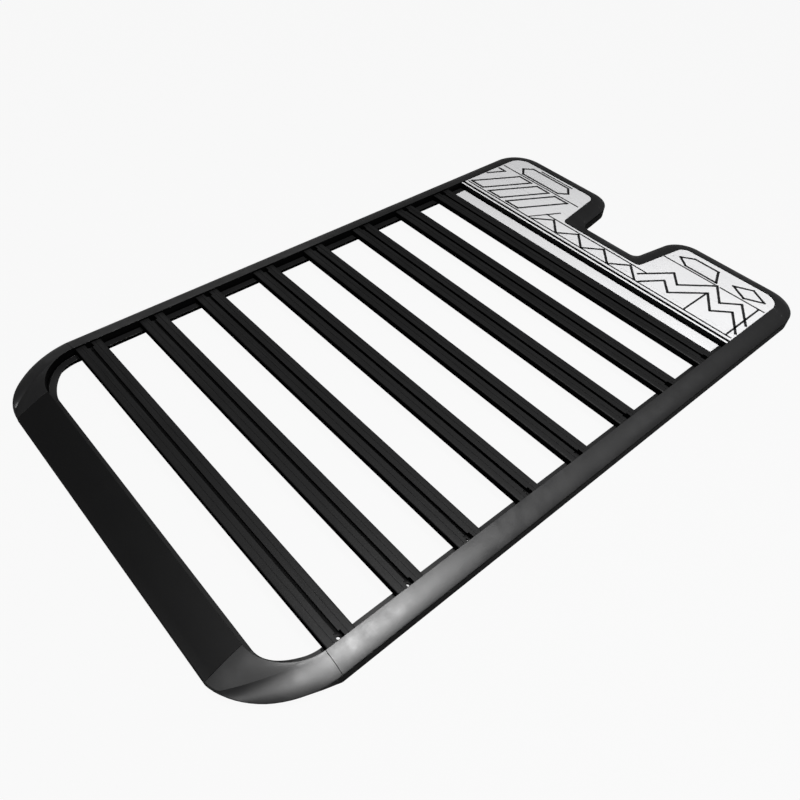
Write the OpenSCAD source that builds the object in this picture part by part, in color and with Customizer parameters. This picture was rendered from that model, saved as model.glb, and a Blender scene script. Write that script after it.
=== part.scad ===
// Flat platform roof rack: an open frame of slotted slats inside a moulded rail,
// with a deflector at the front and a closed deck around an aerial notch at the back.
// X runs across the vehicle, +Y points to its rear and z = 0 is the underside.

/* [Overall] */
// Width over the side rails
overall_w = 1250; // [1000:10:1500]
// Length from the deflector to the rear rails
overall_l = 2110; // [1900:10:2400]
// Height of the rail's inner lip above the underside
overall_h = 54; // [48:1:70]

/* [Rail section] */
// Width of the rail in plan, from its inner lip to its outer face
rail_w = 56; // [45:1:70]
// Drop of the rounded crown from the lip to the trim groove
crown_drop = 20; // [15:1:26]
// Turn of the crown between the lip and the trim groove
crown_turn = 62; // [45:1:85]
// How much of the crown's fall is a straight slope, 0 for an arc
crown_bevel = 0.5; // [0:0.05:0.8]
// Height of the trim groove under the crown
groove_h = 1.6; // [1:0.1:3]
// Depth of the trim groove
groove_d = 1.2; // [0.6:0.1:2]
// Wall of the rails and mouldings
wall_t = 3; // [2:0.5:4]
// Drop of the inner ledge below the lip
ledge_drop = 26; // [22:1:32]
// Reach of the inner ledge
ledge_w = 20; // [19:1:26]
// Thickness of the inner ledge
ledge_t = 3; // [2:0.5:5]
// Height of the carrier angles' upright leg under the ledge
carrier_leg = 18; // [10:1:22]

/* [Front deflector] */
// Width of the deflector in plan
deflector_w = 93; // [75:1:120]
// Height of the deflector's rolled nose
nose_h = 12; // [8:1:16]
// Reach of the rubber seal behind the deflector
seal_w = 19; // [10:1:26]
// Height of the seal's lip above the underside
seal_h = 6; // [4:1:12]
// Thickness of the seal
seal_t = 3; // [2:0.5:4]
// Height of the seal's upright leg above its lip
seal_leg = 14; // [8:1:20]

/* [Front corners] */
// Length of a front corner along the side
corner_l = 214; // [180:2:260]
// Length of a front corner along the front
corner_w = 172; // [150:2:220]
// Height of the skirt where the corner turns
corner_skirt_h = 25; // [18:1:28]
// How fast the skirt falls from there to the nose
skirt_sweep = 2.8; // [1:0.1:4]
// How far the skirt's foot draws in where the corner turns
skirt_draft = 14; // [0:1:18]
// How long the crease stays near the lip before it sweeps out
crease_sweep = 2; // [1:0.1:3]
// Bluntness of the outer curve, 2 for an ellipse
outer_curve = 1.85; // [1.4:0.05:2.4]
// Bluntness of the inner curve, 2 for an ellipse
inner_curve = 1.85; // [1.4:0.05:2.4]
// Open joint between the front corners and their neighbours
seam_gap = 0.8; // [0.4:0.1:1.5]

/* [Rear corners and notch] */
// Outer radius of the rear corners
rear_r = 112; // [90:1:160]
// Clear width at the bottom of the aerial notch
notch_w = 230; // [180:2:300]
// Depth of the aerial notch
notch_d = 217; // [180:1:260]
// Flare of each side of the notch
notch_flare = 9; // [4:1:14]
// Outer radius of the shoulders beside the notch
shoulder_r = 90; // [75:1:110]
// Radius of the open corners at the bottom of the notch
notch_open_r = 30; // [20:1:40]
// Radius of the lip around those corners
notch_lip_r = 18; // [10:1:30]

/* [Slats] */
// Width of a slat
slat_w = 75; // [60:1:90]
// Height of a slat
slat_h = 20; // [18:1:22]
// Wall of the slat's section
slat_wall = 2; // [1.5:0.5:3]
// Radius of the slat's upper edges
slat_edge_r = 4; // [2:0.5:5]
// Distance from the front edge to the first slat's centre
first_slat = 257; // [256:1:270]
// Clearance between a slat's end and the rail
slat_end_gap = 0.6; // [0.3:0.1:1.5]
// Width of the slot's mouth
slot_mouth = 9; // [8.5:0.5:11]
// Width of the slot inside
slot_w = 19; // [17:0.5:22]
// Depth of the lips beside the slot's mouth
slot_lip = 4; // [3:0.5:5]
// Thickness of the slat under the slot
slot_floor = 3; // [2:0.5:4]
// Length of the wide slot entry at each end
entry_l = 18.5; // [18.5:0.5:32]
// Width of the fine grooves on a slat
line_w = 1.2; // [0.8:0.1:2]
// Depth of the fine grooves on a slat
line_d = 0.8; // [0.5:0.1:1.2]
// Distance of the fine grooves from the slat's centre
line_offset = 19.5; // [16:0.5:26]
// Diameter of the bolt hole through a slat's end and the ledge
bolt_d = 8.5; // [6.5:0.5:10.5]
// Distance of the bolt hole from the rail's lip
bolt_inset = 13.5; // [10:0.5:14]

/* [Rear deck] */
// Thickness of the deck sheet
deck_t = 2; // [1.5:0.5:3]
// Drop of the deck below the lip
deck_drop = 2.5; // [1.5:0.5:4]
// Clearance between the deck and the lip
deck_gap = 0.8; // [0.4:0.1:1.5]
// Distance from the rear edge to the deck's front face
deck_l = 381; // [370:1:440]
// Distance from the last slat's centre to the deck's front face
deck_setback = 107; // [100:1:120]
// Width of the bar under the deck's front edge
bar_w = 30; // [26:1:40]
// Width of the light edge strip on the bar
edge_w = 6; // [4:0.5:8]
// Height of the edge strip's front leg
edge_h = 13; // [8:1:16]
// Thickness of the edge strip's front leg
edge_t = 1.5; // [1:0.5:2]
// Width of the open slot between the edge strip and the deck
bar_slot = 12; // [10:0.5:14]
// Pitch of the shallow lines across the deck
deck_line_pitch = 104; // [90:1:120]
// Distance from the rear edge to the last line across the deck
deck_line_inset = 125; // [115:1:140]
// Width of the lines across the deck
deck_line_w = 1.5; // [1:0.5:3]
// Depth of the lines across the deck
deck_line_d = 0.6; // [0.4:0.1:0.9]
// Thickness of the low apron sheet before the deck
apron_t = 1.5; // [1:0.5:3]

/* [Hidden] */
$fn = 64;

// How far each slat stands from even spacing
slat_shift = [0, -2, -13, -2, -2, 9, 10, 0];

// Plan positions
side_x = overall_w / 2;
lip_x = side_x - rail_w;
front_y = -overall_l / 2;
rear_y = overall_l / 2;
side_seam_y = front_y + corner_l;
front_seam_x = side_x - corner_w;
notch_y = rear_y - notch_d;
deck_front_y = rear_y - deck_l;
last_slat = len(slat_shift) - 1;
first_slat_y = front_y + first_slat;
last_slat_y = deck_front_y - deck_setback;

// Heights
ledge_z = overall_h - ledge_drop;
deck_z = overall_h - deck_drop;
slat_len = 2 * (lip_x - slat_end_gap);
bolt_x = lip_x - bolt_inset;

// Steps of the rounded surfaces
crown_steps = 12;
slope_steps = 5;
corner_steps = 20;
fillet_steps = 8;
notch_steps = 18;

// The slats are spread between the first and the last
function slat_y(i) = mix(first_slat_y, last_slat_y, i / last_slat) + slat_shift[i];
function mix(a, b, t) = a + (b - a) * t;
function unit(v) = v / norm(v);

// The deflector's slope: its height at the share q of its width
slope_power = 1.15;
function slope_z(q) = overall_h - (overall_h - nose_h) * pow(q, slope_power);

// How far out and down the crown has turned at the share t of its arc
function crown_out(t) = sin(crown_turn * t) / sin(crown_turn);
function crown_fall(t) = mix((1 - cos(crown_turn * t)) / (1 - cos(crown_turn)), crown_out(t), crown_bevel);

// The rail's skin from the lip to the underside as [outward, up] points.
// The deflector's slope runs to the share crease, and the crown rolls over from there to skirt_z.
// The skirt's foot is drawn in by draft.
function skin(w, crease, skirt_z, draft = 0) = let (crease_z = slope_z(crease)) concat(
    [for (i = [0 : slope_steps - 1]) let (q = crease * i / slope_steps) [w * q, slope_z(q)]],
    [for (i = [0 : crown_steps]) let (t = i / crown_steps)
        [w * mix(crease, 1, crown_out(t)), mix(crease_z, skirt_z, crown_fall(t))]],
    [[w - groove_d, skirt_z], [w - groove_d, skirt_z - groove_h], [w, skirt_z - groove_h],
     [w - draft, 0]]);

// The side rail's skin has the crown alone
function crown_skin(w) = let (skirt_z = overall_h - crown_drop) concat(
    [for (i = [0 : crown_steps]) let (t = i / crown_steps)
        [w * crown_out(t), mix(overall_h, skirt_z, crown_fall(t))]],
    [[w - groove_d, skirt_z], [w - groove_d, skirt_z - groove_h],
     [w, skirt_z - groove_h], [w, 0]]);

// The same skin moved in by the wall, for the inside of a shell
function inner_skin(points, w) = [for (p = points)
    [wall_t + (w - 2 * wall_t) * min(p[0], w) / w, max(p[1] - wall_t, 0)]];

function reversed(points) = [for (i = [len(points) - 1 : -1 : 0]) points[i]];
function arc(centre, r, from, to, steps) = [for (i = [0 : steps])
    let (a = mix(from, to, i / steps)) centre + r * [cos(a), sin(a)]];

// A shell open below: skin, inside and inner wall, with a ledge on that wall if it has one
function ledge_at(z, w) = [[0, z - ledge_t], [-w, z - ledge_t], [-w, z], [0, z]];
ledge_points = ledge_at(ledge_z, ledge_w);
function shell_outline(points, w, ledge = []) = concat(
    points, reversed(inner_skin(points, w)), [[wall_t, 0], [0, 0]], ledge);

// An outline stood on the line from a lip point to an edge point in plan
function placed(outline, lip, edge) = let (out = unit(edge - lip))
    [for (p = outline) [lip[0] + out[0] * p[0], lip[1] + out[1] * p[0], p[1]]];

// The end of a shell as strips between its skin and inside, its inner wall and its ledge
function shell_end(n) = let (m = (n - 6) / 2) concat(
    [for (i = [0 : m - 2]) [i, i + 1, 2 * m - 2 - i, 2 * m - 1 - i]],
    [[2 * m, 2 * m + 1, 2 * m + 2, 2 * m + 5, 0, 2 * m - 1]],
    [[2 * m + 2, 2 * m + 3, 2 * m + 4, 2 * m + 5]]);

// A shell lofted through a row of outlines with the same number of points
module loft(rings) {
    n = len(rings[0]);
    last = len(rings) - 1;
    polyhedron(points = [for (ring = rings) each ring], faces = concat(
        shell_end(n),
        [for (r = [0 : last - 1], i = [0 : n - 1])
            let (a = r * n + i, b = r * n + (i + 1) % n) each [[a, a + n, b], [b, a + n, b + n]]],
        [for (face = shell_end(n)) [for (i = reversed(face)) last * n + i]]));
}

// The closed section of the rails; behind the side rails it has the ledge that carries the deck
module rail_section(ledge) {
    skin_points = crown_skin(rail_w);
    difference() {
        polygon(concat(skin_points, [[0, 0]], ledge));
        polygon(concat([for (p = inner_skin(skin_points, rail_w)) [p[0], max(p[1], wall_t)]],
            [[wall_t, wall_t]]));
    }
}

// A straight rail from a lip point; heading is the direction that its outer face looks to
module rail_run(lip, heading, length, ledge = ledge_points) {
    translate([lip[0], lip[1], 0]) rotate([0, 0, heading]) rotate([90, 0, 0])
        linear_extrude(length) rail_section(ledge);
}

// A bent rail around a centre, of outer radius r
module rail_bend(centre, r, from, turn) {
    translate([centre[0], centre[1], 0]) rotate([0, 0, from]) rotate_extrude(angle = turn)
        translate([r - rail_w, 0]) rail_section(ledge_points);
}

// Bolt holes for every slat's end
module bolt_holes() {
    for (i = [0 : last_slat], side = [-1, 1])
        translate([side * bolt_x, slat_y(i), ledge_z - ledge_t - 1])
            cylinder(d = bolt_d, h = ledge_t + slot_floor + 2);
}

// Places of the notch on the right-hand side; the left side is mirrored
notch_turn = 90 - notch_flare;
flare_dir = [sin(notch_flare), cos(notch_flare)];
flare_out = [cos(notch_flare), -sin(notch_flare)];
notch_foot = [notch_w / 2, notch_y];
notch_head = [notch_w / 2 + notch_d * tan(notch_flare), rear_y];
shoulder_reach = shoulder_r * tan(notch_turn / 2);
open_reach = notch_open_r * tan(notch_turn / 2);
lip_reach = notch_lip_r * tan(notch_turn / 2);
shoulder_centre = [notch_head[0] + shoulder_reach, rear_y - shoulder_r];
side_start = notch_foot + open_reach * flare_dir;
side_end = notch_head - shoulder_reach * flare_dir;
side_lip = side_start + rail_w * flare_out;
notch_lip_y = notch_y - rail_w;
lip_corner = side_lip - flare_dir * ((side_lip[1] - notch_lip_y) / flare_dir[1]);
lip_centre = [lip_corner[0] - lip_reach, notch_lip_y + notch_lip_r];
open_centre = [notch_foot[0] - open_reach, notch_y + notch_open_r];

// The lip's path through a notch corner: straight, round the lip's radius, straight
function notch_lip(t) = t < 1 / 3
    ? mix([open_centre[0], notch_lip_y], [lip_centre[0], notch_lip_y], 3 * t)
    : t > 2 / 3
        ? mix(lip_centre + notch_lip_r * flare_out, side_lip, 3 * t - 2)
        : lip_centre + notch_lip_r * [cos(mix(-90, -notch_flare, 3 * t - 1)),
                                      sin(mix(-90, -notch_flare, 3 * t - 1))];
function notch_edge(t) = let (a = mix(-90, -notch_flare, t)) open_centre + notch_open_r * [cos(a), sin(a)];

// The front corner's plan curves and how its section changes along them
function blunt(c, a, b, n, t) = [c[0] + a * pow(cos(90 * t), 2 / n), c[1] - b * pow(sin(90 * t), 2 / n)];
corner_centre = [front_seam_x, side_seam_y];
function corner_edge(t) = blunt(corner_centre, corner_w, corner_l, outer_curve, t);
function corner_lip(t) = blunt(corner_centre, corner_w - rail_w, corner_l - deflector_w, inner_curve, t);
crease_min = 0.02;
crease_max = 0.96;
crease_start = 0.1;
crease_end = 0.88;
function corner_crease(t) = let (run = (t - crease_start) / (crease_end - crease_start))
    max(crease_min, min(crease_max, pow(max(run, 0), crease_sweep)));
function corner_skirt(t) = t < 0.5
    ? mix(overall_h - crown_drop, corner_skirt_h, 2 * t)
    : mix(corner_skirt_h, nose_h, pow(2 * t - 1, skirt_sweep));
function corner_draft(t) = skirt_draft * sin(180 * pow(t, 0.8));

module slat(i) {
    color("#1c1c1e") difference() {
        translate([-slat_len / 2, slat_y(i), ledge_z]) rotate([90, 0, 90])
            linear_extrude(slat_len) slat_section();
        for (side = [-1, 1])
            translate([side * (slat_len / 2 - entry_l / 2), slat_y(i), ledge_z + slat_h - slot_lip / 2])
                cube([entry_l + 0.02, slot_w, slot_lip + 0.02], center = true);
        bolt_holes();
    }
}

module slat_section() {
    half = slat_w / 2;
    chamber_x = slot_w / 2 + slat_wall;
    difference() {
        union() {
            translate([-half, 0]) square([slat_w, slat_h - slat_edge_r]);
            translate([slat_edge_r - half, 0]) square([slat_w - 2 * slat_edge_r, slat_h]);
            for (side = [-1, 1])
                translate([side * (half - slat_edge_r), slat_h - slat_edge_r]) circle(slat_edge_r);
        }
        translate([-slot_mouth / 2, slat_h - slot_lip - 0.01]) square([slot_mouth, slot_lip + 0.02]);
        translate([-slot_w / 2, slot_floor]) square([slot_w, slat_h - slot_lip - slot_floor]);
        for (side = [0, 1]) mirror([side, 0]) {
            translate([chamber_x, slat_wall])
                square([half - slat_wall - chamber_x, slat_h - 2 * slat_wall]);
            translate([line_offset - line_w / 2, slat_h - line_d]) square([line_w, line_d + 0.01]);
        }
    }
}

side_l = rear_y - rear_r - side_seam_y - seam_gap;
module side_rail() {
    color("#26272a") rail_run([lip_x, rear_y - rear_r], 0, side_l, []);
}

// An angle along the side rail's inner wall, which carries the slats and the deck's sides
module side_carrier() {
    foot = ledge_z - ledge_t - carrier_leg;
    color("#222326") difference() {
        translate([lip_x, rear_y - rear_r, 0]) rotate([90, 0, 0]) linear_extrude(side_l)
            polygon([[0, foot], [0, ledge_z], [-ledge_w, ledge_z], [-ledge_w, ledge_z - ledge_t],
                [-ledge_t, ledge_z - ledge_t], [-ledge_t, foot]]);
        bolt_holes();
    }
}

module front_deflector() {
    length = 2 * (front_seam_x - seam_gap);
    outline = shell_outline(skin(deflector_w, crease_max, nose_h), deflector_w);
    color("#1e1f21") translate([length / 2, front_y + deflector_w, 0]) rotate([0, 0, -90])
        rotate([90, 0, 0]) linear_extrude(length) polygon(outline);
}

// A rubber seal with a leg against the deflector's inner wall and a lip behind it.
// Its lip meets the ledges of the corners end to end.
module deflector_seal() {
    length = 2 * (front_seam_x - seam_gap);
    color("#0c0c0d") translate([length / 2, front_y + deflector_w, 0]) rotate([0, 0, -90])
        rotate([90, 0, 0]) linear_extrude(length)
            polygon([[0, seal_h - seal_t], [-seal_w, seal_h - seal_t], [-seal_w, seal_h],
                [-seal_t, seal_h], [-seal_t, seal_h + seal_leg], [0, seal_h + seal_leg]]);
}

// A front corner's ledge falls from the slats' height to the seal's
ledge_start = 0.3;
function corner_ledge(t) = let (run = min(max((t - ledge_start) / (0.95 - ledge_start), 0), 1),
    share = run * run * (3 - 2 * run))
    ledge_at(mix(ledge_z, seal_h, share), mix(ledge_w, seal_w, share));

module front_corner() {
    color("#2a2b2e") loft([for (i = [0 : corner_steps])
        let (t = i / corner_steps, lip = corner_lip(t), edge = corner_edge(t), w = norm(edge - lip))
            placed(shell_outline(skin(w, corner_crease(t), corner_skirt(t), corner_draft(t)), w,
                corner_ledge(t)), lip, edge)]);
}

module rear_corner() {
    color("#26272a") rail_bend([side_x - rear_r, rear_y - rear_r], rear_r, 0, 90);
}

module rear_rail() {
    color("#26272a") rail_run([shoulder_centre[0], rear_y - rail_w], 90, side_x - rear_r - shoulder_centre[0]);
}

module notch_shoulder() {
    color("#26272a") rail_bend(shoulder_centre, shoulder_r, 90, notch_turn);
}

module notch_side() {
    color("#26272a") rail_run(side_lip, 180 - notch_flare, norm(side_end - side_start));
}

module notch_corner() {
    color("#26272a") loft([for (i = [0 : notch_steps])
        let (t = i / notch_steps, lip = notch_lip(t), edge = notch_edge(t), w = norm(edge - lip))
            placed(shell_outline(crown_skin(w), w, ledge_points), lip, edge)]);
}

module notch_rail() {
    color("#26272a") rail_run([-open_centre[0], notch_lip_y], 90, 2 * open_centre[0]);
}

// The deck's outline, moved in from the lip by gap
function deck_half(gap, front) = concat([[lip_x - gap, front]],
    arc([side_x - rear_r, rear_y - rear_r], rear_r - rail_w - gap, 0, 90, fillet_steps),
    arc(shoulder_centre, shoulder_r - rail_w - gap, 90, 90 + notch_turn, fillet_steps),
    arc(lip_centre, notch_lip_r + gap, -notch_flare, -90, fillet_steps));
module deck_plan(gap, front) {
    half = deck_half(gap, front);
    polygon(concat(half, reversed([for (p = half) [-p[0], p[1]]])));
}

module rear_deck() {
    front = deck_front_y + edge_w + bar_slot;
    flange_top = deck_z - deck_t;
    color("#dcdcde") difference() {
        union() {
            translate([0, 0, flange_top]) linear_extrude(deck_t) deck_plan(deck_gap, front);
            translate([0, 0, ledge_z]) linear_extrude(flange_top - ledge_z + 0.01) difference() {
                deck_plan(deck_gap, deck_front_y + bar_w + 1);
                deck_plan(deck_gap + deck_t, front);
            }
        }
        for (i = [0 : 2])
            translate([-lip_x, rear_y - deck_line_inset - i * deck_line_pitch - deck_line_w / 2,
                deck_z - deck_line_d])
                cube([2 * lip_x, deck_line_w, deck_line_d + 0.01]);
    }
}

module deck_edge_strip() {
    color("#dcdcde") translate([-slat_len / 2, deck_front_y, 0]) rotate([90, 0, 90]) linear_extrude(slat_len)
        polygon([[-edge_t, deck_z - edge_h], [0, deck_z - edge_h], [0, deck_z - deck_t],
            [edge_w, deck_z - deck_t], [edge_w, deck_z], [-edge_t, deck_z]]);
}

module deck_bar() {
    h = deck_z - deck_t - ledge_z;
    color("#1c1c1e") translate([-slat_len / 2, deck_front_y, ledge_z]) rotate([90, 0, 90])
        linear_extrude(slat_len) difference() {
            square([bar_w, h]);
            translate([edge_w, h - slot_lip - 0.01]) square([bar_slot, slot_lip + 0.02]);
            translate([wall_t, slot_floor]) square([bar_w - 2 * wall_t, h - slot_lip - slot_floor]);
        }
}

module deck_apron() {
    front = slat_y(last_slat) + slot_mouth / 2;
    half = lip_x - ledge_w - slat_end_gap;
    color("#d4d4d6") translate([-half, front, ledge_z - apron_t])
        cube([2 * half, deck_front_y + bar_w - wall_t - front, apron_t]);
}

slat(0);  // slat_1
slat(1);  // slat_2
slat(2);  // slat_3
slat(3);  // slat_4
slat(4);  // slat_5
slat(5);  // slat_6
slat(6);  // slat_7
slat(7);  // slat_8
mirror([1, 0, 0]) side_rail();  // side_rail_left
side_rail();  // side_rail_right
mirror([1, 0, 0]) side_carrier();  // side_carrier_left
side_carrier();  // side_carrier_right
front_deflector();
deflector_seal();
mirror([1, 0, 0]) front_corner();  // front_corner_left
front_corner();  // front_corner_right
mirror([1, 0, 0]) rear_corner();  // rear_corner_left
rear_corner();  // rear_corner_right
mirror([1, 0, 0]) rear_rail();  // rear_rail_left
rear_rail();  // rear_rail_right
mirror([1, 0, 0]) notch_shoulder();  // notch_shoulder_left
notch_shoulder();  // notch_shoulder_right
mirror([1, 0, 0]) notch_side();  // notch_side_left
notch_side();  // notch_side_right
mirror([1, 0, 0]) notch_corner();  // notch_corner_left
notch_corner();  // notch_corner_right
notch_rail();
rear_deck();
deck_edge_strip();
deck_bar();
deck_apron();
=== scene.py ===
# Flat platform roof rack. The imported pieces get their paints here. This script makes the printed
# lines on the deck, the camera and the studio. Metres, +Y to the rear.
import math

import bpy
from mathutils import Matrix, Vector


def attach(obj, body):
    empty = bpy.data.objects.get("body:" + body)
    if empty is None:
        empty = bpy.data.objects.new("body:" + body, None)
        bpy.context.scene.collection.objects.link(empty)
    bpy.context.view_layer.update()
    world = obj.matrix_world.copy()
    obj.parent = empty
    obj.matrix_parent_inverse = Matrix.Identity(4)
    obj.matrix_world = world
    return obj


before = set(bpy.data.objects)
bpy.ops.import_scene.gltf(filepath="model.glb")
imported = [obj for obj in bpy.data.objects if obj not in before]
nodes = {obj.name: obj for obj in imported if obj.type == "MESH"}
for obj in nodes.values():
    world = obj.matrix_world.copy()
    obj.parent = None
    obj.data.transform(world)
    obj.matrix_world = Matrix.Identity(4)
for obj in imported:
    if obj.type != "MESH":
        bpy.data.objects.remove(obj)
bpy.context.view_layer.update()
mm = 0.001
print("roof rack: frame loaded with", len(nodes), "pieces")


# Shader maths: a wire is one output socket, and arithmetic on it adds Math nodes
class Wire:
    def __init__(self, paint, socket):
        self.paint = paint
        self.socket = socket

    def calc(self, operation, first, second):
        return self.paint.node("ShaderNodeMath", {"operation": operation}, {0: first, 1: second})

    def __add__(self, other):
        return self.calc("ADD", self, other)

    def __radd__(self, other):
        return self.calc("ADD", other, self)

    def __sub__(self, other):
        return self.calc("SUBTRACT", self, other)

    def __rsub__(self, other):
        return self.calc("SUBTRACT", other, self)

    def __mul__(self, other):
        return self.calc("MULTIPLY", self, other)

    def __rmul__(self, other):
        return self.calc("MULTIPLY", other, self)


# One material's node tree
class Paint:
    def __init__(self, tree):
        self.tree = tree
        tree.nodes.clear()

    # any node: its settings first, then the values or wires of its sockets
    def node(self, kind, settings=None, sockets=None, out=0):
        made = self.tree.nodes.new(kind)
        for key, value in (settings or {}).items():
            if key == "stops":
                self.setStops(made.color_ramp, value)
            else:
                setattr(made, key, value)
        for key, value in (sockets or {}).items():
            if isinstance(value, Wire):
                self.tree.links.new(value.socket, made.inputs[key])
            else:
                made.inputs[key].default_value = value
        return Wire(self, made.outputs[out]) if len(made.outputs) else None

    def setStops(self, ramp, stops):
        while len(ramp.elements) < len(stops):
            ramp.elements.new(1)
        for element, (place, level) in zip(ramp.elements, stops):
            element.position = place
            element.color = (level, level, level, 1)

    def ramp(self, wire, *stops):
        return self.node("ShaderNodeValToRGB", {"stops": stops}, {"Fac": wire})

    # 0 below the first of two levels and 1 above the second
    def rise(self, wire, low, high):
        return self.ramp(wire, (low, 0), (high, 1))

    def mixColour(self, share, low, high):
        return self.node("ShaderNodeMix", {"data_type": "RGBA"}, {0: share, 6: low, 7: high}, out=2)

    def mixShader(self, share, low, high):
        return self.node("ShaderNodeMixShader", None, {0: share, 1: low, 2: high})

    # noise with grains of that size in metres, stretched by a factor along each axis
    def noise(self, grain, stretch=(1, 1, 1), detail=3, rough=0.5):
        place = self.node("ShaderNodeTexCoord", out="Object")
        scaled = self.node("ShaderNodeVectorMath", {"operation": "DIVIDE"},
                           {0: place, 1: tuple(grain * s for s in stretch)})
        return self.node("ShaderNodeTexNoise", None,
                         {"Vector": scaled, "Scale": 1.0, "Detail": detail, "Roughness": rough})

    # a bump over edges that are rounded by that radius
    def bump(self, height, distance, radius):
        rounded = self.node("ShaderNodeBevel", {"samples": 4}, {"Radius": radius})
        return self.node("ShaderNodeBump", None,
                         {"Strength": 1.0, "Distance": distance, "Height": height, "Normal": rounded})

    def principled(self, colour, roughness, specular, normal):
        return self.node("ShaderNodeBsdfPrincipled", None, {
            "Base Color": colour, "Roughness": roughness, "Specular IOR Level": specular,
            "Normal": normal})

    # 1 between two heights in metres, 0 above and below them; a ramp's stops lie from 0 to 1
    def band(self, low, high, blur):
        place = self.node("ShaderNodeTexCoord", out="Object")
        z = self.node("ShaderNodeSeparateXYZ", None, {0: place}, out="Z")
        scale = 1 / (high + blur)
        return self.ramp(z * scale, ((low - blur) * scale, 0), (low * scale, 1),
                         (high * scale, 1), (1, 0))

    # one shader for what looks up and one for what stands upright; tilt has the normal's z at
    # which the top's starts and is full
    # on the rails, the deflector and the slats the upright shader is a darker copy of the coat:
    # painted shade
    def topAndSide(self, top, side, tilt):
        normal = self.node("ShaderNodeNewGeometry", out="Normal")
        z = self.node("ShaderNodeSeparateXYZ", None, {0: normal}, out="Z")
        return self.mixShader(self.rise(z, *tilt), side, top)

    def finish(self, shader):
        self.node("ShaderNodeOutputMaterial", None, {"Surface": shader})


def newPaint(name):
    material = bpy.data.materials.new(name)
    material.use_nodes = True
    return material, Paint(material.node_tree)


# Black coat of the rails and the corners: satin, clouded by handling, with fine orange peel
railLook = {
    "colour": (0.0038, 0.0038, 0.004, 1),
    "worn": (0.014, 0.014, 0.0144, 1),   # where hands and cloths have polished it
    "cloud": 0.10,                       # metres across a cloud
    "ragged": 0.62,
    "wear": (0.34, 0.68),                # noise levels where wear starts and is full
    "roughness": (0.27, 0.46),           # worn and fresh
    "shine": 0.74,
    # upright faces take a darker, duller copy of the coat: painted shade
    "skirt": (0.0012, 0.0012, 0.0013, 1),
    "skirtShine": 0.03,
    "trim": (0.0295, 0.0342, 0.0006),    # lower and upper edge of the band of painted shade in the groove, and their blur
    "trimRoughness": 0.9,
    "tilt": (0.1, 0.5),
    "grain": 0.0022,                     # metres across one dimple
    "grainDetail": 2,
    "grainDepth": 0.00006,
    "edge": 0.0012,                      # radius that the bump rounds edges by
}
# Black coat of the deflector, a little coarser and duller
mouldingLook = {
    "colour": (0.0019, 0.0019, 0.002, 1),
    "worn": (0.0053, 0.0053, 0.0055, 1),
    "cloud": 0.085,
    "ragged": 0.6,
    "wear": (0.36, 0.7),
    "roughness": (0.32, 0.48),
    "shine": 0.34,
    # upright faces take a darker, duller copy of the coat: painted shade
    "skirt": (0.001, 0.001, 0.0011, 1),
    "skirtShine": 0.02,
    "tilt": (0.1, 0.5),
    "grain": 0.0016,
    "grainDetail": 3,
    "grainDepth": 0.00008,
    "edge": 0.0015,
}


def satinCoat(name, look):
    material, paint = newPaint(name)
    cloud = paint.noise(look["cloud"], detail=5, rough=look["ragged"])
    patch = paint.rise(cloud, *look["wear"])
    colour = paint.mixColour(patch, look["colour"], look["worn"])
    smooth, dull = look["roughness"]
    roughness = dull - patch * (dull - smooth)
    grain = paint.noise(look["grain"], detail=look["grainDetail"])
    normal = paint.bump(grain, look["grainDepth"], look["edge"])
    top = paint.principled(colour, roughness, look["shine"], normal)
    # upright faces: a darker, duller copy of the coat, as painted shade
    side = paint.principled(look["skirt"], dull, look["skirtShine"], normal)
    # a band of painted shade along the groove under the crown, on the upright faces
    if "trim" in look:
        trim = paint.principled(look["skirt"], look["trimRoughness"], 0.0, normal)
        side = paint.mixShader(paint.band(*look["trim"]), side, trim)
    paint.finish(paint.topAndSide(top, side, look["tilt"]))
    return material


# Textured black coat of the slats: slick on top, dead matt on the sides, which are a darker copy that
# reflects nothing, as painted shade
slatLook = {
    "colour": (0.0018, 0.0018, 0.0019, 1),
    "dust": (0.013, 0.013, 0.0133, 1),
    "grain": 0.0035,
    "ragged": 0.65,
    "streak": (26, 1, 1),                # drawn out along the slat
    "cloud": 0.09,
    "cloudStretch": (2.5, 1, 1),
    "shares": (0.3, 0.45, 0.25),         # of grain, streaks and clouds in the dust
    "dusty": (0.43, 0.6),                # noise levels where dust starts and is full
    "roughness": (0.30, 0.52),           # dusty and bare
    "shine": 0.43,
    "shadedSideRoughness": 0.85,
    "tilt": (0.25, 0.8),
    "grainDepth": 0.00025,
    "edge": 0.0008,
}


def slatCoat(look):
    material, paint = newPaint("slatCoat")
    grain = paint.noise(look["grain"], detail=4, rough=look["ragged"])
    streak = paint.noise(look["grain"], look["streak"])
    cloud = paint.noise(look["cloud"], look["cloudStretch"], detail=4)
    fine, drawn, wide = look["shares"]
    dust = paint.rise(fine * grain + drawn * streak + wide * cloud, *look["dusty"])
    colour = paint.mixColour(dust, look["colour"], look["dust"])
    slick, dull = look["roughness"]
    roughness = dull - dust * (dull - slick)
    normal = paint.bump(grain, look["grainDepth"], look["edge"])
    top = paint.principled(colour, roughness, look["shine"], normal)
    # the sides: a matt copy that reflects nothing, as painted shade
    side = paint.principled(look["colour"], look["shadedSideRoughness"], 0.0, normal)
    paint.finish(paint.topAndSide(top, side, look["tilt"]))
    return material


# Dull rubber of the seal behind the deflector
rubberLook = {
    "colour": (0.006, 0.006, 0.006, 1),
    "roughness": 0.7,
    "shine": 0.3,
    "grain": 0.0012,
    "grainDepth": 0.0001,
    "edge": 0.001,
}


def rubberCoat(look):
    material, paint = newPaint("rubberCoat")
    normal = paint.bump(paint.noise(look["grain"], detail=2), look["grainDepth"], look["edge"])
    paint.finish(paint.principled(look["colour"], look["roughness"], look["shine"], normal))
    return material


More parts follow.
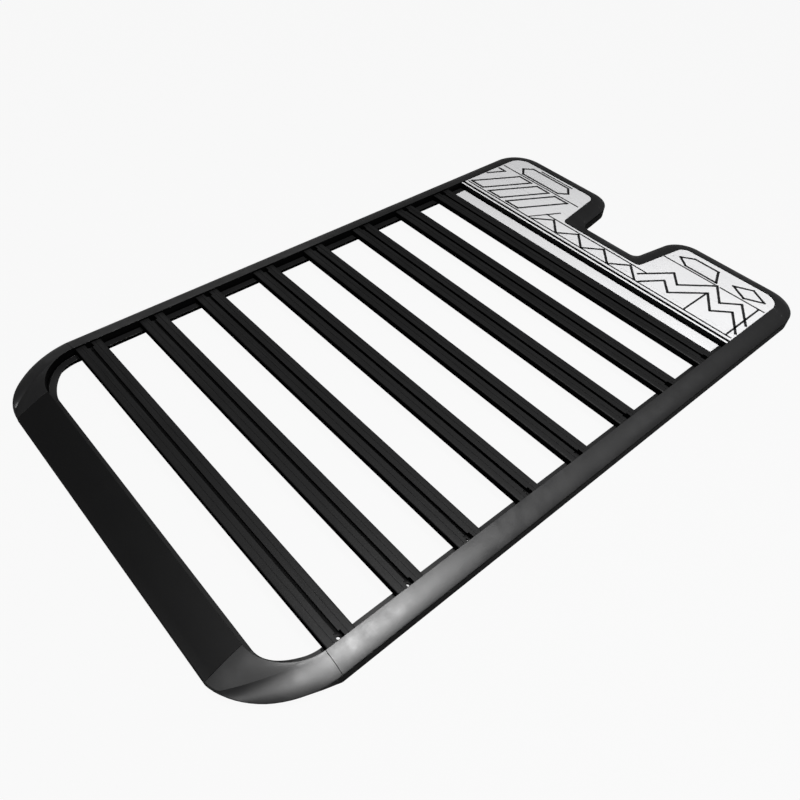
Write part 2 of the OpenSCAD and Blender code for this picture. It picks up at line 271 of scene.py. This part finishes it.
# Pale satin paint of the deck sheet, with faint dust and rolling marks across it
deckLook = {
    "colour": (0.78, 0.78, 0.785, 1),
    "dust": (0.70, 0.70, 0.71, 1),
    "speckle": 0.004,
    "rolling": (60, 1, 1),               # drawn out across the rack
    "rollingDepth": 0.00004,
    "cloud": 0.16,
    "shares": (0.35, 0.3, 0.35),         # of speckle, rolling marks and clouds in the dust
    "dusty": (0.4, 0.66),
    "roughness": (0.42, 0.55),           # bare and dusty
    "shine": 0.4,
    "edge": 0.0008,
    "stripTilt": (0.3, 0.7),
}


def deckCoat(look):
    material, paint = newPaint("deckCoat")
    speckle = paint.noise(look["speckle"])
    rolling = paint.noise(look["speckle"], look["rolling"], detail=2)
    cloud = paint.noise(look["cloud"])
    fine, drawn, wide = look["shares"]
    dust = paint.rise(fine * speckle + drawn * rolling + wide * cloud, *look["dusty"])
    colour = paint.mixColour(dust, look["colour"], look["dust"])
    satin, dull = look["roughness"]
    roughness = satin + dust * (dull - satin)
    normal = paint.bump(rolling, look["rollingDepth"], look["edge"])
    paint.finish(paint.principled(colour, roughness, look["shine"], normal))
    return material


# The strip on the deck bar: pale on top, black on the leg that looks forward
def stripCoat(deck, rail):
    material, paint = newPaint("stripCoat")
    normal = paint.bump(paint.noise(deck["speckle"]), deck["rollingDepth"], deck["edge"])
    top = paint.principled(deck["colour"], deck["roughness"][0], deck["shine"], normal)
    # the black leg takes the rail skirt's darker colour and low shine, which carry painted shade
    leg = paint.principled(rail["skirt"], rail["roughness"][1], rail["skirtShine"], normal)
    paint.finish(paint.topAndSide(top, leg, deck["stripTilt"]))
    return material


# Smooth shading up to an angle in degrees, over welded points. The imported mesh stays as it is.
softLook = {"weld": 0.00001, "angle": 16.0}


def softShading(look):
    group = bpy.data.node_groups.new("softShading", "GeometryNodeTree")
    group.interface.new_socket("Geometry", in_out="INPUT", socket_type="NodeSocketGeometry")
    group.interface.new_socket("Geometry", in_out="OUTPUT", socket_type="NodeSocketGeometry")
    add, link = group.nodes.new, group.links.new
    start, end = add("NodeGroupInput"), add("NodeGroupOutput")
    plain = add("GeometryNodeRemoveAttribute")       # the normals that came with the mesh
    plain.inputs["Name"].default_value = "custom_normal"
    weld = add("GeometryNodeMergeByDistance")
    weld.inputs["Distance"].default_value = look["weld"]
    faces, sharp = add("GeometryNodeSetShadeSmooth"), add("GeometryNodeSetShadeSmooth")
    sharp.domain = "EDGE"
    sharp.inputs["Shade Smooth"].default_value = False
    angle, over = add("GeometryNodeInputMeshEdgeAngle"), add("FunctionNodeCompare")
    over.inputs[1].default_value = math.radians(look["angle"])
    link(start.outputs[0], plain.inputs[0])
    link(plain.outputs[0], weld.inputs[0])
    link(weld.outputs[0], faces.inputs[0])
    link(faces.outputs[0], sharp.inputs[0])
    link(angle.outputs[0], over.inputs[0])
    link(over.outputs[0], sharp.inputs["Selection"])
    link(sharp.outputs[0], end.inputs[0])
    return group


def dress(material, group, *names):
    for name, piece in nodes.items():
        if name.startswith(names):
            piece.data.materials.clear()
            piece.data.materials.append(material)
            piece.modifiers.new("softShading", "NODES").node_group = group


soft = softShading(softLook)
dress(slatCoat(slatLook), soft, "slat_", "deck_bar")
dress(satinCoat("railCoat", railLook), soft,
      "side_", "front_corner", "rear_corner", "rear_rail", "notch_")
dress(satinCoat("mouldingCoat", mouldingLook), soft, "front_deflector")
dress(deckCoat(deckLook), soft, "rear_deck", "deck_apron")
dress(stripCoat(deckLook, railLook), soft, "deck_edge_strip")
dress(rubberCoat(rubberLook), soft, "deflector_seal")
print("roof rack: paints on")


# Generic printed lines on the deck, in millimetres of the rack's plan
printLook = {
    "colour": (0.012, 0.012, 0.0125, 1),
    "roughness": 0.55,
    "shine": 0.3,
    "bold": 9.0,                         # width of the shapes' outlines
    "thin": 6.5,                         # width of the ruled lines
    "lift": 0.12,                        # height over the sheet
    "margin": 4.0,                       # bare edge round the print
    "grain": 0.002,                      # of the ink, in metres
    "grainDepth": 0.00002,
    "edge": 0.0005,
}
deckPlan = {
    "top": 51.5, "front": 692, "rear": 998, "side": 568,
    "corner": (513, 943, 55),            # centre and radius of the rear corners' arc
    "shoulder": (226.2, 965, 33),        # and of the arc beside the notch
    "notch": (162.8, 782, 0.1584),       # lip corner and how far its side leans per mm
}
closedShapes = [
    [(-556, 716), (-498, 716), (-410, 888), (-468, 888)],
    [(-468, 716), (-410, 716), (-322, 888), (-380, 888)],
    [(-380, 716), (-322, 716), (-234, 888), (-292, 888)],
    [(-500, 944), (-474, 914), (-300, 914), (-274, 944), (-300, 974), (-474, 974)],
    [(426, 946), (482, 914), (538, 946), (482, 978)],
    [(222, 944), (262, 914), (380, 914), (352, 974), (262, 974)],
]
openShapes = [
    [(-246, 706), (-190, 762), (-134, 706), (-78, 762), (-22, 706), (34, 762), (90, 706), (146, 762),
     (202, 706)],
    [(-566, 800), (-530, 872), (-566, 872)],
    [(190, 744), (262, 846), (306, 798), (392, 902), (446, 828), (496, 880), (568, 784)],
    [(214, 706), (266, 784), (310, 738), (394, 842), (448, 768), (498, 820), (568, 724)],
]
ruledLines = [
    [(-568, 902), (-196, 902)], [(-568, 704), (568, 704)], [(-230, 770), (206, 770)],
    [(186, 902), (382, 902)], [(404, 902), (568, 902)], [(392, 706), (392, 832)],
    [(-262, 704), (-206, 816)], [(544, 706), (544, 902)],
]
dashes = [[(x, 986), (x + 8, 986)] for x in range(-440, -290, 14)]


# whether a point of the plan lies on the sheet's open face, inside the margin
def onDeck(x, y, plan, margin):
    x = abs(x)
    cornerX, cornerY, cornerR = plan["corner"]
    shoulderX, shoulderY, shoulderR = plan["shoulder"]
    lipX, lipY, lean = plan["notch"]
    if x > plan["side"] - margin or not plan["front"] + margin < y < plan["rear"] - margin:
        return False
    if x > cornerX and y > cornerY:
        return math.hypot(x - cornerX, y - cornerY) < cornerR - margin
    if x < shoulderX and y > shoulderY:
        return math.hypot(x - shoulderX, y - shoulderY) < shoulderR - margin
    return y < lipY - margin or x > lipX + (y - lipY) * lean + margin


# one straight stroke as quads, cut where it leaves the deck; its free ends reach half a width
# further, so that strokes join at corners
def addStroke(start, end, width, plan, margin, points, faces):
    along = Vector(end) - Vector(start)
    steps = max(1, round(along.length))
    side = Vector((-along.y, along.x)).normalized() * width / 2
    reach = along.normalized() * width / 2
    inside = [onDeck(*(Vector(start) + along * i / steps), plan, margin) for i in range(steps + 1)]
    first = None
    for i, kept in enumerate(inside + [False]):
        if kept and first is None:
            first = i
        elif not kept and first is not None:
            a = Vector(start) + along * first / steps - reach * (first == 0)
            b = Vector(start) + along * (i - 1) / steps + reach * (i == steps + 1)
            faces.append(tuple(len(points) + k for k in range(4)))
            points += [a - side, b - side, b + side, a + side]
            first = None


def addPrint(look, plan):
    points, faces = [], []
    for shape in [shape + shape[:1] for shape in closedShapes] + openShapes:
        for start, end in zip(shape, shape[1:]):
            addStroke(start, end, look["bold"], plan, look["margin"], points, faces)
    for start, end in ruledLines + dashes:
        addStroke(start, end, look["thin"], plan, look["margin"], points, faces)
    height = plan["top"] + look["lift"]
    mesh = bpy.data.meshes.new("deckPrint")
    mesh.from_pydata([(p.x * mm, p.y * mm, height * mm) for p in points], [], faces)
    piece = bpy.data.objects.new("deckPrint", mesh)
    bpy.context.scene.collection.objects.link(piece)
    material, paint = newPaint("printInk")
    normal = paint.bump(paint.noise(look["grain"], detail=2), look["grainDepth"], look["edge"])
    paint.finish(paint.principled(look["colour"], look["roughness"], look["shine"], normal))
    mesh.materials.append(material)
    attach(piece, "root")


addPrint(printLook, deckPlan)
print("roof rack: deck printed")


# Camera of the photograph
cameraLook = {
    "from": (1.1267, -1.2478, 1.497),
    "at": (0.1015, -0.2232, 0.0),
    "roll": 4.9,                         # degrees, counter-clockwise
    "lens": 33.83,
}


# the placing of a camera or lamp that stands at one point and looks at another
def lookingAt(place, target):
    turn = (Vector(target) - Vector(place)).to_track_quat("-Z", "Y").to_matrix().to_4x4()
    return Matrix.Translation(place) @ turn


def addCamera(look):
    data = bpy.data.cameras.new("photoCamera")
    data.lens = look["lens"]
    camera = bpy.data.objects.new("photoCamera", data)
    bpy.context.scene.collection.objects.link(camera)
    roll = Matrix.Rotation(math.radians(look["roll"]), 4, "Z")
    camera.matrix_world = lookingAt(look["from"], look["at"]) @ roll
    bpy.context.scene.camera = camera


# Soft lamps in metres and watts. They look straight down but for the one that has an aim. Most
# of the light hangs past the near side, by the front, and it dims towards the far side and the
# rear. The key hangs higher than the others, because lamps that share a place hide each other.
lampLook = {
    "key": {"at": (1.5, 0, 3.2), "size": (1.5, 1.5), "watts": 16},
    "keyCore": {"at": (1.45, 0.05, 3.0), "size": (0.8, 0.7), "watts": 55},
    "keyInner": {"at": (0.7, 0.05, 3.0), "size": (0.7, 0.7), "watts": 25.5},
    "corner": {"at": (1.45, -1.35, 3.0), "size": (0.8, 0.7), "watts": 26},
    "cornerInner": {"at": (0.7, -1.35, 3.0), "size": (0.7, 0.7), "watts": 13},
    "right": {"at": (3.0, 0, 3.0), "size": (1.5, 1.5), "watts": 42},
    "front": {"at": (0, -3.0, 3.0), "size": (1.5, 1.5), "watts": 15},
    "rear": {"at": (1.5, 3.0, 3.0), "size": (1.5, 1.5), "watts": 6},
    "far": {"at": (-3.4, 0.3, 1.2), "aim": (-0.5, 0.2, 0), "size": (3.0, 1.2), "watts": 3},
}


def addLamp(name, look):
    data = bpy.data.lights.new(name, "AREA")
    data.shape = "RECTANGLE"
    data.size, data.size_y = look["size"]
    data.energy = look["watts"]
    lamp = bpy.data.objects.new(name, data)
    bpy.context.scene.collection.objects.link(lamp)
    x, y, z = look["at"]
    lamp.matrix_world = lookingAt((x, y, z), look.get("aim", (x, y, 0)))


# Pale floor and backdrop: white to the camera, and a share of that to gloss and glass
studioLook = {
    "floor": 24.0,                       # metres across
    "colour": (0.2, 0.2, 0.2, 1),        # matt, under the white
    "white": 0.93,
    "glossShare": 0.05,
    "skyFill": (0.03, 0.03, 0.031, 1),
}
pureWhite = (1, 1, 1, 1)


def whiteMask(paint, look):
    camera, gloss, glass = (paint.node("ShaderNodeLightPath", out=kind) for kind in
                            ("Is Camera Ray", "Is Glossy Ray", "Is Transmission Ray"))
    return camera * look["white"] + (gloss + glass) * look["glossShare"]


def addFloor(look):
    half = look["floor"] / 2
    mesh = bpy.data.meshes.new("floor")
    mesh.from_pydata([(-half, -half, 0), (half, -half, 0), (half, half, 0), (-half, half, 0)],
                     [], [(0, 1, 2, 3)])
    floor = bpy.data.objects.new("floor", mesh)
    bpy.context.scene.collection.objects.link(floor)
    material, paint = newPaint("paleFloor")
    matt = paint.node("ShaderNodeBsdfDiffuse", None, {"Color": look["colour"]})
    white = paint.node("ShaderNodeEmission", None, {"Color": pureWhite, "Strength": 1.0})
    paint.finish(paint.mixShader(whiteMask(paint, look), matt, white))
    mesh.materials.append(material)


def addWorld(look):
    world = bpy.data.worlds.new("studio")
    world.use_nodes = True
    bpy.context.scene.world = world
    paint = Paint(world.node_tree)
    dim = paint.node("ShaderNodeBackground", None, {"Color": look["skyFill"], "Strength": 1.0})
    white = paint.node("ShaderNodeBackground", None, {"Color": pureWhite, "Strength": 1.0})
    sky = paint.mixShader(whiteMask(paint, look), dim, white)
    paint.node("ShaderNodeOutputWorld", None, {"Surface": sky})


addCamera(cameraLook)
for lampName, look in lampLook.items():
    addLamp(lampName, look)
addFloor(studioLook)
addWorld(studioLook)
bpy.context.scene.view_settings.view_transform = "Standard"
print("roof rack: studio lit")
